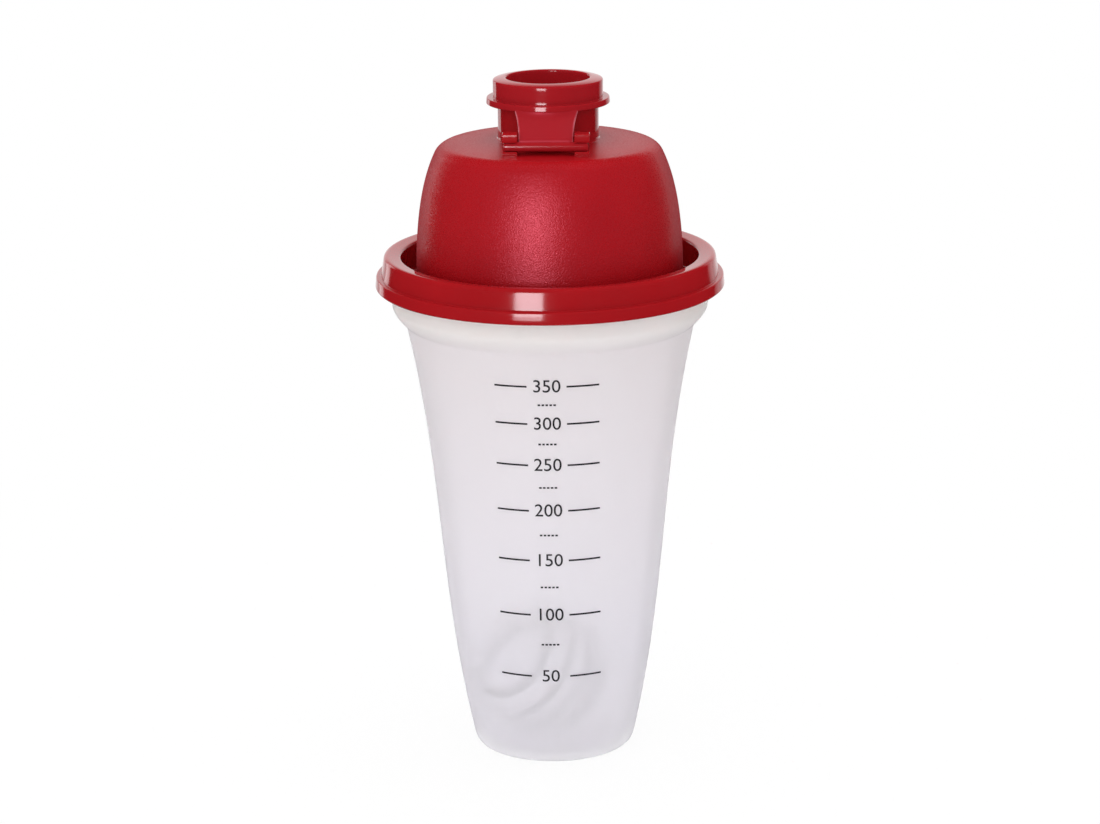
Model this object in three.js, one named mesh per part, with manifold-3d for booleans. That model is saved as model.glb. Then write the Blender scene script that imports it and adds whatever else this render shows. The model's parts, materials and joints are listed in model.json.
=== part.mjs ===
// Batter shaker bottle: a flared cup, a press-fit domed lid with a pouring neck, a hinged flip cap
// and a loose ribbed mixing ball. Millimetres, +Z up, origin at the middle of the foot, hinge to -Y.

import * as THREE from 'three';
import { mergeVertices } from 'three/addons/utils/BufferGeometryUtils.js';
import Module from 'manifold-3d';

const wasm = await Module();
wasm.setup();

// Fits shared by every piece
const SEAT_GAP = 0.3; // between faces that rest on one another
const SLIDE_GAP = 0.35; // between walls that slide past one another
const SWING_GAP = 0.6; // between the neck lip and the skirt that swings off it

// Cup
const CUP_WALL = 1.4;
const FOOT_INSET = 1.9; // standing ring, inward from the bottom of the wall
const FOOT_RISE = 3; // height of the rounding between ring and wall
const FOOT_RING_WIDTH = 3.6;
const FOOT_RECESS = 1.2; // hollow under the base
const BASE_THICKNESS = 1.8;
const FLOOR_ROUND = 2.5; // inside corner between floor and wall
const WALL_BOTTOM_RADIUS = 24;
const WALL_TOP_RADIUS = 41.8;
const WALL_TOP_Z = 128.3;
const WALL_FLARE_OUT = 10.3; // handles of the S-shaped wall, outward and upward
const WALL_FLARE_UP = 47;
const COLLAR_RADIUS = 45.7;
const COLLAR_WALL = 1.6;
const SHOULDER_HEIGHT = 5.8; // from the top of the wall to the straight collar
const SHOULDER_BULGE = 3.5; // height of the shoulder's corner above the wall
const RIM_Z = 146.2;
const RIM_BEAD = 0.35;
const RIM_BEAD_HEIGHT = 2.4;

// Lid: grip flange, ring over the rim, moat and dome
const LID_WALL = 1.5;
const SKIRT_WALL = 1.3;
const SKIRT_DEPTH = 7.4; // below the cup's rim
const FLANGE_REACH = 1.7; // outward from the foot of the ring
const FLANGE_THICKNESS = 3.7;
const FLANGE_CHAMFER = 0.6;
const RING_ROUND = 1.2;
const RING_DRAFT = 1; // how much wider the ring is at its foot
const RING_CREST = 0.6; // outer edge of the ring above its inner edge
const PLUG_WALL = 0.9; // wall inside the cup's rim, at its top
const PLUG_DRAFT = 0.5; // how much thicker it is at the moat floor
const MOAT_DEPTH = 8.2;
const DOME_BASE_RADIUS = 38.5;
const DOME_RISE = 20; // handle of the dome's curve above the moat floor
const CROWN_RADIUS = 28.3; // where the deck turns over
const CROWN_Z = 180.5;
const CROWN_FILLET = 4.9;
const CROWN_LEAN = THREE.MathUtils.degToRad(25.5); // slope of the dome where the fillet starts
const CROWN_HANDLE = 8;
const DECK_RISE = 1.3; // from the crown to the neck

// Pouring neck
const NECK_RADIUS = 14.4;
const NECK_WALL = 1.5;
const NECK_HEIGHT = 9.95; // from the deck to the shoulder under the cap
const NECK_FILLET = 0.9;
const LIP_HEIGHT = 1.45;
const LIP_WALL = 0.8;

// Flip cap
const CAP_WALL = 1.1;
const CAP_SKIRT_WALL = 1.4;
const CAP_HEIGHT = 7.35;
const CAP_CREST = 0.4; // inner edge of the top above its outer edge
const CAP_ROUND = 0.5;
const CAP_FLANGE_REACH = 2;
const CAP_FLANGE_THICKNESS = 1.75;
const RECESS_RADIUS = 11.9;
const RECESS_DEPTH = 6.9;
const RECESS_ROUND = 3; // bowl-shaped corner of the recess, which seats on the lip

// Hinge between cap and lid
const PIVOT_REACH = 22.2; // forward from the bottle's axis
const PIVOT_HEIGHT = 2.9; // above the crown
const AXLE_RADIUS = 1.4;
const CLIP_INNER = 8; // half the space between the clips
const CLIP_WIDTH = 4.2;
const CLIP_TOP = 3.75; // above the pivot
const CLIP_BACK = 2.6; // behind the pivot
const CLIP_FRONT = 1.5; // ahead of the pivot
const CLIP_MOUTH = 3.6;
const CLIP_THROAT = 2.4;
const CLIP_ROUND = 0.5;
const CLIP_SINK = 0.6; // root of the clips below the crown
const AXLE_END_GAP = 0.4; // axle end to the clip's outer face
const STRAP_THICKNESS = 1.2;
const STRAP_FLARE = 1.6; // how much the strap widens on each side towards the flange
const STRAP_TUCK = 0.75; // middle of the strap behind the flange's rim
const STRAP_DROP = 1.9; // how far it hangs straight before it leans out
const STRAP_CREASE = 1.7; // fold above the pivot

// Mixing ball
const BALL_RADIUS = 19;
const RIB_DEPTH = 2.6;
const RIB_THICKNESS = 1.7;
const RIB_PITCH = 6.4;
const RIBS_PER_HALF = 5;
const BALL_LEAN = new THREE.Vector2(-0.6, -0.8); // direction from the axis in which it lies
const RIB_NORMAL = new THREE.Vector3(-0.6, -0.5, 0.6).normalize();
const VIEWED_SIDE = new THREE.Vector3(0, -1, 0);

// Mesh fineness
const SEGMENTS = 48;
const WALL_STEPS = 10;
const FINE_STEPS = 60; // where the wall is only measured
const DOME_STEPS = 8;
const FILLET_STEPS = 3;
const RIB_STEPS = 12;
const STRAP_STEPS = 6;

// Sizes that follow from the ones above
const wallBottomZ = FOOT_RISE;
const footRadius = WALL_BOTTOM_RADIUS - FOOT_INSET;
const floorZ = FOOT_RECESS + BASE_THICKNESS;
const collarZ = WALL_TOP_Z + SHOULDER_HEIGHT;
const collarInner = COLLAR_RADIUS - COLLAR_WALL;
const skirtInner = COLLAR_RADIUS + RIM_BEAD + SLIDE_GAP;
const ringRadius = skirtInner + SKIRT_WALL;
const ringFoot = ringRadius + RING_DRAFT;
const flangeRadius = ringFoot + FLANGE_REACH;
const flangeBottomZ = RIM_Z - SKIRT_DEPTH;
const channelZ = RIM_Z + SEAT_GAP;
const ringTopZ = channelZ + LID_WALL;
const moatFloorZ = ringTopZ - MOAT_DEPTH;
const plugOuter = collarInner - SLIDE_GAP;
const moatOuter = plugOuter - PLUG_WALL;
const plugBottomZ = moatFloorZ - LID_WALL;
const deckZ = CROWN_Z + DECK_RISE;
const neckBore = NECK_RADIUS - NECK_WALL;
const lipRadius = neckBore + LIP_WALL;
const neckShoulderZ = deckZ + NECK_HEIGHT;
const lipTopZ = neckShoulderZ + LIP_HEIGHT;
const capBottomZ = neckShoulderZ + SEAT_GAP;
const capTopZ = capBottomZ + CAP_HEIGHT;
const capSkirtInner = lipRadius + SWING_GAP;
const capRadius = capSkirtInner + CAP_SKIRT_WALL;
const capFlangeRadius = capRadius + CAP_FLANGE_REACH;
const pivotY = -PIVOT_REACH;
const pivotZ = CROWN_Z + PIVOT_HEIGHT;
const clipOuter = CLIP_INNER + CLIP_WIDTH;
const axleHalf = clipOuter - AXLE_END_GAP;
const strapHalf = CLIP_INNER - SLIDE_GAP;

// Profiles are lists of (radius, height) points that run up the outside and down the inside
const point = (r, z) => new THREE.Vector2(r, z);

function arc(r, z, radius, fromDegrees, toDegrees, steps = FILLET_STEPS) {
  const from = THREE.MathUtils.degToRad(fromDegrees);
  const to = THREE.MathUtils.degToRad(toDegrees);
  return new THREE.EllipseCurve(r, z, radius, radius, from, to, to < from).getPoints(steps);
}

const bezier = (a, b, c, d, steps) => new THREE.CubicBezierCurve(a, b, c, d).getPoints(steps);
const bend = (a, corner, b, steps) => new THREE.QuadraticBezierCurve(a, corner, b).getPoints(steps);

// A profile turned about Z
function turn(profile) {
  return new THREE.LatheGeometry(profile, SEGMENTS).rotateX(Math.PI / 2);
}

// An outline drawn in (Y, Z), carried from x = from to x = to
function carryAlongX(outline, from, to, curveSegments = FILLET_STEPS) {
  const depth = to - from;
  const slab = new THREE.ExtrudeGeometry(outline, { depth, bevelEnabled: false, curveSegments });
  const axes = new THREE.Matrix4().makeBasis(
    new THREE.Vector3(0, 1, 0),
    new THREE.Vector3(0, 0, 1),
    new THREE.Vector3(1, 0, 0),
  );
  return slab.applyMatrix4(axes).translate(from, 0, 0);
}

// A closed geometry as a solid that can be joined and cut
function solid(geometry) {
  const bare = new THREE.BufferGeometry();
  bare.setAttribute('position', geometry.getAttribute('position'));
  bare.setIndex(geometry.getIndex());
  const merged = mergeVertices(bare, 1e-4);
  const corners = merged.getIndex().array;
  const kept = [];
  for (let i = 0; i < corners.length; i += 3) {
    const [a, b, c] = corners.slice(i, i + 3);
    if (a !== b && b !== c && c !== a) kept.push(a, b, c);
  }
  const vertProperties = new Float32Array(merged.getAttribute('position').array);
  const triVerts = new Uint32Array(kept);
  return new wasm.Manifold(new wasm.Mesh({ numProp: 3, vertProperties, triVerts }));
}

function geometryOf(body) {
  const { vertProperties, triVerts } = body.getMesh();
  const geometry = new THREE.BufferGeometry();
  geometry.setAttribute('position', new THREE.BufferAttribute(vertProperties, 3));
  geometry.setIndex(new THREE.BufferAttribute(triVerts, 1));
  geometry.computeVertexNormals();
  return geometry;
}

function piece(name, body, color, roughness) {
  const material = new THREE.MeshStandardMaterial({ color, roughness, metalness: 0 });
  const mesh = new THREE.Mesh(geometryOf(body), material);
  mesh.name = name;
  return mesh;
}

// The cup's S-shaped wall at a distance inside its outer face, from bottom to top
function cupWall(inset, bottomZ, steps = WALL_STEPS) {
  const bottom = point(WALL_BOTTOM_RADIUS - inset, bottomZ);
  const top = point(WALL_TOP_RADIUS - inset, WALL_TOP_Z);
  const lowHandle = point(bottom.x + WALL_FLARE_OUT, wallBottomZ + WALL_FLARE_UP);
  const highHandle = point(top.x - WALL_FLARE_OUT, top.y - WALL_FLARE_UP);
  return bezier(bottom, lowHandle, highHandle, top, steps);
}

// The shoulder that widens the wall into the straight collar under the lid
function cupShoulder(wallRadius, collarRadius) {
  const corner = point(collarRadius, WALL_TOP_Z + SHOULDER_BULGE);
  return bend(point(wallRadius, WALL_TOP_Z), corner, point(collarRadius, collarZ), 5);
}

function makeCup() {
  const footInner = footRadius - FOOT_RING_WIDTH;
  const beadZ = RIM_Z - RIM_BEAD_HEIGHT;
  const footCorner = point(WALL_BOTTOM_RADIUS - FOOT_INSET / 3, 0);
  const foot = [
    point(0, FOOT_RECESS),
    point(footInner - FOOT_RECESS, FOOT_RECESS),
    point(footInner, 0),
    ...bend(point(footRadius, 0), footCorner, point(WALL_BOTTOM_RADIUS, wallBottomZ), 4),
  ];
  const collar = [
    point(COLLAR_RADIUS, beadZ - RIM_BEAD),
    point(COLLAR_RADIUS + RIM_BEAD, beadZ),
    point(COLLAR_RADIUS + RIM_BEAD, RIM_Z - RIM_BEAD),
    point(COLLAR_RADIUS, RIM_Z),
    point(collarInner, RIM_Z),
  ];
  const inside = [
    ...cupWall(CUP_WALL, floorZ + FLOOR_ROUND),
    ...cupShoulder(WALL_TOP_RADIUS - CUP_WALL, collarInner).slice(1),
  ];
  const floorRadius = inside[0].x;
  const floorRound = bend(
    point(floorRadius, floorZ + FLOOR_ROUND),
    point(floorRadius, floorZ),
    point(floorRadius - FLOOR_ROUND, floorZ),
    3,
  );
  const profile = [
    ...foot,
    ...cupWall(0, wallBottomZ).slice(1),
    ...cupShoulder(WALL_TOP_RADIUS, COLLAR_RADIUS).slice(1),
    ...collar,
    ...inside.reverse(),
    ...floorRound.slice(1),
    point(0, floorZ),
  ];
  return solid(turn(profile));
}

// The dome's wall from its base up to the crown fillet, at a distance inside its outer face
function domeWall(inset, bottomZ) {
  const fillet = CROWN_FILLET - inset;
  const across = Math.cos(CROWN_LEAN);
  const up = Math.sin(CROWN_LEAN);
  const base = point(DOME_BASE_RADIUS - inset, bottomZ);
  const end = point(CROWN_RADIUS + fillet * across, CROWN_Z - CROWN_FILLET + fillet * up);
  const baseHandle = point(base.x, moatFloorZ + DOME_RISE);
  const endHandle = point(end.x + CROWN_HANDLE * up, end.y - CROWN_HANDLE * across);
  return bezier(base, baseHandle, endHandle, end, DOME_STEPS);
}

function crownFillet(inset) {
  const lean = THREE.MathUtils.radToDeg(CROWN_LEAN);
  return arc(CROWN_RADIUS, CROWN_Z - CROWN_FILLET, CROWN_FILLET - inset, lean, 90, 4);
}

function lidShell() {
  const deckSlope = DECK_RISE / (CROWN_RADIUS - NECK_RADIUS);
  const underDeckZ = deckZ - LID_WALL;
  const flangeTopZ = flangeBottomZ + FLANGE_THICKNESS;
  const outside = [
    point(skirtInner, flangeBottomZ),
    point(flangeRadius - FLANGE_CHAMFER, flangeBottomZ),
    point(flangeRadius, flangeBottomZ + FLANGE_CHAMFER),
    point(flangeRadius, flangeTopZ - FLANGE_CHAMFER / 2),
    point(flangeRadius - FLANGE_CHAMFER / 2, flangeTopZ),
    point(ringFoot, flangeTopZ),
    ...arc(ringRadius - RING_ROUND, ringTopZ + RING_CREST - RING_ROUND, RING_ROUND, 0, 90),
    point(moatOuter, ringTopZ),
    point(moatOuter - PLUG_DRAFT, moatFloorZ),
    ...domeWall(0, moatFloorZ),
    ...crownFillet(0).slice(1),
    ...bend(
      point(NECK_RADIUS + NECK_FILLET, deckZ - NECK_FILLET * deckSlope),
      point(NECK_RADIUS, deckZ),
      point(NECK_RADIUS, deckZ + NECK_FILLET),
      2,
    ),
    point(NECK_RADIUS, neckShoulderZ),
    point(lipRadius, neckShoulderZ),
    point(lipRadius, lipTopZ),
  ];
  const inside = [
    point(neckBore, lipTopZ),
    point(neckBore, underDeckZ),
    ...crownFillet(LID_WALL).reverse(),
    ...domeWall(LID_WALL, plugBottomZ).reverse().slice(1),
    point(plugOuter, plugBottomZ),
    point(plugOuter, channelZ),
    point(skirtInner, channelZ),
    point(skirtInner, flangeBottomZ),
  ];
  return solid(turn([...outside, ...inside]));
}

// Side view of one clip: a C that opens forward, with a flared mouth and a bore for the axle
function clipOutline() {
  const bore = AXLE_RADIUS + SEAT_GAP;
  const half = THREE.MathUtils.radToDeg(Math.asin(CLIP_THROAT / 2 / bore));
  const front = pivotY - CLIP_FRONT;
  const back = pivotY + CLIP_BACK;
  const top = pivotZ + CLIP_TOP;
  const root = CROWN_Z - CLIP_SINK;
  return new THREE.Shape([
    point(back, root),
    ...arc(back - CLIP_ROUND, top - CLIP_ROUND, CLIP_ROUND, 0, 90),
    ...arc(front + CLIP_ROUND, top - CLIP_ROUND, CLIP_ROUND, 90, 180),
    point(front, pivotZ + CLIP_MOUTH / 2),
    ...arc(pivotY, pivotZ, bore, 180 - half, half - 180, 12),
    point(front, pivotZ - CLIP_MOUTH / 2),
    point(front, root),
  ]);
}

function makeLid() {
  const right = solid(carryAlongX(clipOutline(), CLIP_INNER, clipOuter));
  const left = solid(carryAlongX(clipOutline(), -clipOuter, -CLIP_INNER));
  return lidShell().add(right).add(left);
}

function capShell() {
  const flangeTopZ = capBottomZ + CAP_FLANGE_THICKNESS;
  const bowlRadius = RECESS_RADIUS - RECESS_ROUND;
  const bowlZ = capTopZ - RECESS_DEPTH + RECESS_ROUND;
  const outerRound = RECESS_ROUND + CAP_WALL;
  const profile = [
    point(0, bowlZ - outerRound),
    ...arc(bowlRadius, bowlZ, outerRound, -90, 0, 5),
    point(bowlRadius + outerRound, capTopZ - CAP_WALL),
    point(capSkirtInner, capTopZ - CAP_WALL),
    point(capSkirtInner, capBottomZ),
    point(capFlangeRadius, capBottomZ),
    point(capFlangeRadius, flangeTopZ),
    point(capRadius, flangeTopZ),
    ...arc(capRadius - CAP_ROUND, capTopZ - CAP_CREST - CAP_ROUND, CAP_ROUND, 0, 90),
    ...arc(RECESS_RADIUS + CAP_ROUND, capTopZ - CAP_ROUND, CAP_ROUND, 90, 180),
    ...arc(bowlRadius, bowlZ, RECESS_ROUND, 0, -90, 4),
    point(0, bowlZ - RECESS_ROUND),
  ];
  return solid(turn(profile));
}

// A closed band between sections that each have a front row and a back row of points
function loft(sections) {
  const width = sections[0].front.length;
  const ring = 2 * width;
  const rows = sections.map(({ front, back }) => [...front, ...[...back].reverse()]);
  const index = [];
  const quad = (a, b, c, d) => index.push(a, b, c, a, c, d);
  for (let row = 0; row + 1 < rows.length; row += 1) {
    for (let i = 0; i < ring; i += 1) {
      const next = (i + 1) % ring;
      quad(row * ring + i, (row + 1) * ring + i, (row + 1) * ring + next, row * ring + next);
    }
  }
  const last = (rows.length - 1) * ring;
  for (let i = 0; i + 1 < width; i += 1) {
    quad(i, i + 1, ring - 2 - i, ring - 1 - i);
    quad(last + i + 1, last + i, last + ring - 1 - i, last + ring - 2 - i);
  }
  const geometry = new THREE.BufferGeometry().setFromPoints(rows.flat());
  return geometry.setIndex(index);
}

// The strap hangs under the flange, curved like its rim, then leans out, flattens and narrows to a fold
function makeStrap() {
  const bow = capFlangeRadius - STRAP_TUCK;
  const top = point(-bow, capBottomZ + CAP_FLANGE_THICKNESS / 2);
  const hang = point(-bow, top.y - STRAP_DROP);
  const fold = point(pivotY, pivotZ + STRAP_CREASE);
  const path = [...bend(top, hang, fold, STRAP_STEPS), point(pivotY, pivotZ)];
  const sections = path.map((at, i) => {
    const ahead = path[Math.min(i + 1, path.length - 1)];
    const along = ahead.clone().sub(path[Math.max(i - 1, 0)]).normalize();
    const normal = point(along.y, -along.x).multiplyScalar(STRAP_THICKNESS / 2);
    const left = 1 - Math.min(i / STRAP_STEPS, 1);
    const half = strapHalf + STRAP_FLARE * left ** 3;
    const row = (side) => Array.from({ length: STRAP_STEPS + 1 }, (_, k) => {
      const x = half * ((2 * k) / STRAP_STEPS - 1);
      const back = (bow - Math.sqrt(bow ** 2 - x ** 2)) * left ** 2;
      return new THREE.Vector3(x, at.x + side * normal.x + back, at.y + side * normal.y);
    });
    return { front: row(1), back: row(-1) };
  });
  return solid(loft(sections));
}

function makeFlipCap() {
  const axle = new THREE.CylinderGeometry(AXLE_RADIUS, AXLE_RADIUS, 2 * axleHalf, 16);
  axle.rotateZ(Math.PI / 2).translate(0, pivotY, pivotZ);
  return capShell().add(makeStrap()).add(solid(axle));
}

// One rib: a half hoop on the ball's surface, at an offset along its own plane's normal (X)
function halfHoop(offset) {
  const outerFace = Math.abs(offset) + RIB_THICKNESS / 2;
  const outer = Math.sqrt(BALL_RADIUS ** 2 - outerFace ** 2);
  const hoop = new THREE.Shape();
  hoop.absarc(0, 0, outer, 0, Math.PI, false);
  hoop.absarc(0, 0, outer - RIB_DEPTH, Math.PI, 0, true);
  return carryAlongX(hoop, offset - RIB_THICKNESS / 2, offset + RIB_THICKNESS / 2, RIB_STEPS);
}

// The ball: ribs across the upper half one way, across the lower half the other way, and a belt
function makeMixingBall() {
  const belt = [
    point(BALL_RADIUS - RIB_DEPTH, -RIB_THICKNESS / 2),
    point(BALL_RADIUS, -RIB_THICKNESS / 2),
    point(BALL_RADIUS, RIB_THICKNESS / 2),
    point(BALL_RADIUS - RIB_DEPTH, RIB_THICKNESS / 2),
    point(BALL_RADIUS - RIB_DEPTH, -RIB_THICKNESS / 2),
  ];
  let ball = solid(turn(belt));
  for (let i = 0; i < RIBS_PER_HALF; i += 1) {
    const offset = (i - (RIBS_PER_HALF - 1) / 2) * RIB_PITCH;
    ball = ball.add(solid(halfHoop(offset)));
    ball = ball.add(solid(halfHoop(offset).rotateX(Math.PI).rotateZ(Math.PI / 2)));
  }
  return ball;
}

// The ball lies on the floor, as far to one side as the wall lets it
function placeBall(mesh) {
  const reach = BALL_RADIUS + SEAT_GAP;
  const z = floorZ + reach;
  const rooms = cupWall(CUP_WALL, floorZ + FLOOR_ROUND, FINE_STEPS).map((wall) => {
    const rise = wall.y - z;
    return Math.abs(rise) < reach ? wall.x - Math.sqrt(reach ** 2 - rise ** 2) : Infinity;
  });
  const aside = BALL_LEAN.clone().setLength(Math.min(...rooms) - SEAT_GAP);
  const pole = VIEWED_SIDE.clone().projectOnPlane(RIB_NORMAL).normalize();
  const along = pole.clone().cross(RIB_NORMAL);
  const place = new THREE.Group();
  place.position.set(aside.x, aside.y, z);
  place.setRotationFromMatrix(new THREE.Matrix4().makeBasis(RIB_NORMAL, along, pole));
  place.add(mesh);
  return place;
}

const MILKY_PLASTIC = 0xe4dedb;
const RED_PLASTIC = 0x9d161b;
const WHITE_PLASTIC = 0xefeeea;

const shaker = new THREE.Group();
shaker.add(piece('cup', makeCup(), MILKY_PLASTIC, 0.45));
shaker.add(piece('lid', makeLid(), RED_PLASTIC, 0.4));
shaker.add(piece('flip_cap', makeFlipCap(), RED_PLASTIC, 0.35));
shaker.add(placeBall(piece('mixing_ball', makeMixingBall(), WHITE_PLASTIC, 0.5)));

export default shaker;
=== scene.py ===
"""Batter shaker bottle: the finished surfaces of its cup, lid, flip cap and mixing ball."""

import json
import math

import bpy
import numpy as np
from bpy.props import FloatProperty, FloatVectorProperty, IntProperty, PointerProperty
from mathutils import Matrix, Vector


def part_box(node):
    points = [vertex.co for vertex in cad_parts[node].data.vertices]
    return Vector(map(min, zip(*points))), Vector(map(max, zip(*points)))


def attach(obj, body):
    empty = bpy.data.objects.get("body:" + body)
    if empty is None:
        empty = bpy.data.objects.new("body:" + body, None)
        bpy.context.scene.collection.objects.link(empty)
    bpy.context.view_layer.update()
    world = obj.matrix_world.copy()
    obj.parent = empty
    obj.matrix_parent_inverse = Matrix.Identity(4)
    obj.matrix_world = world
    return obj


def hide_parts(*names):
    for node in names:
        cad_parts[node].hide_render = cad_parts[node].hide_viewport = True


bl_info = {
    "name": "Batter Shaker Bottle",
    "version": (1, 0, 0),
    "blender": (4, 5, 0),
    "location": "View3D > Sidebar > Shaker",
    "description": "Builds a moulded batter shaker bottle around its packed frame",
    "category": "Add Mesh",
}

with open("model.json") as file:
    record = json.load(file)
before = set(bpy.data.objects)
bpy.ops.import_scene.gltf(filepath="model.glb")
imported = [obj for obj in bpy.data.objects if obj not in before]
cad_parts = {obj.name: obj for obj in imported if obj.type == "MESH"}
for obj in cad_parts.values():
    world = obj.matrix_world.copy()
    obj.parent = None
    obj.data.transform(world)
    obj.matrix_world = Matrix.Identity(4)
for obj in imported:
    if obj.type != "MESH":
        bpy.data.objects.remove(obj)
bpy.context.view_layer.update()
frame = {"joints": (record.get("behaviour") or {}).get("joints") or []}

MM = 0.001
MILLILITRE = 1e-6
TURNS = 224  # steps round a turned surface
STEP = 1.0 * MM  # longest step along a profile
FILLET_STEPS = 6
SAME_POINT = 1e-7  # points closer than this are one

CUP_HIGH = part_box("cup")[1]
LID_LOW, LID_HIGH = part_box("lid")
CAP_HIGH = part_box("flip_cap")[1]
BALL_LOW, BALL_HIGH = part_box("mixing_ball")
PIVOT = next(j for j in frame["joints"] if j["name"] == "cap_flip")["pos_m"]


def length(name, description, default):
    """A size in metres that a user may change."""
    return FloatProperty(name=name, description=description, default=default, unit="LENGTH", precision=4)


def colour(name, description, default):
    """A linear colour that a user may change."""
    return FloatVectorProperty(
        name=name, description=description, default=default, subtype="COLOR", min=0.0, max=1.0
    )


def angle(name, description, degrees):
    """An angle that a user may change, given here in degrees."""
    return FloatProperty(name=name, description=description, default=math.radians(degrees), subtype="ANGLE")


def watts(name, description, default):
    """The power of a light that a user may change."""
    return FloatProperty(name=name, description=description, default=default, unit="POWER", min=0.0)


class CupSettings(bpy.types.PropertyGroup):
    """Sizes and colours of the cup and of the scale printed on it."""

    wall: length("Wall", "Thickness of the flared wall", 1.4 * MM)
    bottom_radius: length("Bottom radius", "Outside of the wall just above the foot", 24 * MM)
    top_radius: length("Top radius", "Outside of the wall under the shoulder", 41.8 * MM)
    top_height: length("Wall height", "Where the wall meets the shoulder", 128.3 * MM)
    collar_radius: length("Collar radius", "Outside of the straight collar", 45.7 * MM)
    rim_height: length("Rim height", "Top of the rim above the table", CUP_HIGH.z)
    milky: colour("Milky plastic", "Colour of the wall low on the cup", (0.93, 0.913, 0.952))
    warm: colour("Warm plastic", "Colour of the wall high on the cup", (0.94, 0.905, 0.915))
    # The collar's paler colour is painted light: it lightens the collar against the shade of the lid above
    # it.
    collar: colour("Collar plastic", "Colour of the straight collar", (1.0, 0.985, 0.96))
    streak: colour("Streak", "Colour of the faint flow streaks", (0.94, 0.925, 0.945))
    ink: colour("Ink", "Colour of the printed scale", (0.012, 0.011, 0.013))
    mark_every: IntProperty(name="Marks", description="Millilitres between numbers", default=50, min=10)
    mark_top: IntProperty(name="Top mark", description="Highest number in millilitres", default=350, min=10)


class LidSettings(bpy.types.PropertyGroup):
    """Sizes and colour of the lid."""

    flange_radius: length("Flange radius", "Outside of the grip flange", LID_HIGH.x)
    ring_radius: length("Ring radius", "Outside of the ring over the rim", 47.7 * MM)
    dome_radius: length("Dome radius", "Outside of the dome where it leaves the moat", 38.5 * MM)
    crown_height: length("Crown height", "Top of the dome's edge above the table", 180.5 * MM)
    neck_radius: length("Neck radius", "Outside of the pouring neck", 14.4 * MM)
    wall: length("Wall", "Thickness of the dome and deck", 1.5 * MM)
    red: colour("Red plastic", "Colour of the polished ring and neck", (0.35, 0.0075, 0.011))
    grained_red: colour("Grained red", "Colour of the dome and deck", (0.35, 0.004, 0.0072))


class CapSettings(bpy.types.PropertyGroup):
    """Sizes and colour of the flip cap, its strap and its axle."""

    flange_radius: length("Flange radius", "Outside of the finger flange", CAP_HIGH.x)
    radius: length("Cap radius", "Outside of the cap", 15.7 * MM)
    recess_radius: length("Recess radius", "Hollow in the top of the cap", 11.9 * MM)
    top_height: length("Top height", "Top of the cap above the table", CAP_HIGH.z)
    axle_radius: length("Axle radius", "Half the thickness of the hinge axle", 1.4 * MM)
    strap_thickness: length("Strap thickness", "Thickness of the strap", 1.2 * MM)
    red: colour("Red plastic", "Colour of the cap", (0.345, 0.0095, 0.0145))
    # The strap's paler side edges are a painted highlight.
    worn: colour("Worn plastic", "Colour of the strap's rubbed edges", (0.62, 0.13, 0.17))


class BallSettings(bpy.types.PropertyGroup):
    """Sizes and colour of the mixing ball."""

    radius: length("Radius", "Outside of the ribs", 19 * MM)
    rib_depth: length("Rib depth", "Depth of a rib towards the middle", 2.6 * MM)
    rib_thickness: length("Rib thickness", "Thickness of a rib", 1.7 * MM)
    rib_pitch: length("Rib pitch", "From one rib to the next", 6.4 * MM)
    ribs: IntProperty(name="Ribs", description="Ribs on each half", default=5, min=1)
    white: colour("White plastic", "Colour of the ball", (0.8, 0.78, 0.8))
    # The ribs' dark grey outer edges are painted shade, where they lie near the cup's wall.
    scuffed: colour("Scuffed plastic", "Colour of the ribs' rubbed edges", (0.19, 0.18, 0.19))


class StageSettings(bpy.types.PropertyGroup):
    """The camera and the light."""

    lens: FloatProperty(name="Lens", description="Focal length in mm", default=104.24, unit="CAMERA")
    distance: length("Distance", "Camera to the bottle's axis, along the table", 897.2 * MM)
    height: length("Height", "Camera above the table", 350.5 * MM)
    aside: length("Aside", "Camera to the left of the bottle's axis", 0.41 * MM)
    azimuth: angle("Azimuth", "Camera round the axis", 1.9)
    tilt: angle("Tilt", "Camera below the horizon", 15.575)
    roll: angle("Roll", "Camera about its own line of sight", -0.629)
    key: watts("Key", "Power of the reflected softbox", 4.5)
    sides: watts("Sides", "Power of the left reflector", 0.42)
    fill: watts("Fill", "Power of the front fill", 3.4)
    top: watts("Top", "Power of the overhead fill", 5.0)
    ambient: FloatProperty(name="Ambient", description="Strength of the room on matt faces", default=0.92)


def spot(r, z):
    """One point of a profile: its distance from the axis and its height."""
    return np.array((r, z), float)


def cubic(a, b, c, d, count=40):
    """Points of a cubic Bezier curve from a to d, drawn towards b and c."""
    t = np.linspace(0, 1, count)[:, None]
    s = 1 - t
    return s**3 * a + 3 * s**2 * t * b + 3 * s * t**2 * c + t**3 * d


def quadratic(a, b, c, count=12):
    """Points of a quadratic Bezier curve from a to c, drawn towards the corner b."""
    t = np.linspace(0, 1, count)[:, None]
    return (1 - t) ** 2 * a + 2 * (1 - t) * t * b + t**2 * c


def arc(centre, radius, start, end, count=10):
    """Points on a circle round a centre, between two angles in radians."""
    t = np.linspace(start, end, count)
    return centre + radius * np.stack([np.cos(t), np.sin(t)], 1)


def fillet(before, corner, after, radius):
    """An arc of that radius that touches the lines from the corner to its two neighbours."""
    u = (before - corner) / np.linalg.norm(before - corner)
    v = (after - corner) / np.linalg.norm(after - corner)
    half = math.acos(np.clip(u @ v, -1, 1)) / 2
    middle = (u + v) / np.linalg.norm(u + v)
    centre = corner + middle * radius / math.sin(half)
    start = math.atan2(*(corner + u * radius / math.tan(half) - centre)[::-1])
    end = math.atan2(*(corner + v * radius / math.tan(half) - centre)[::-1])
    sweep = (end - start + math.pi) % (2 * math.pi) - math.pi
    return arc(centre, radius, start, start + sweep, FILLET_STEPS)


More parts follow.
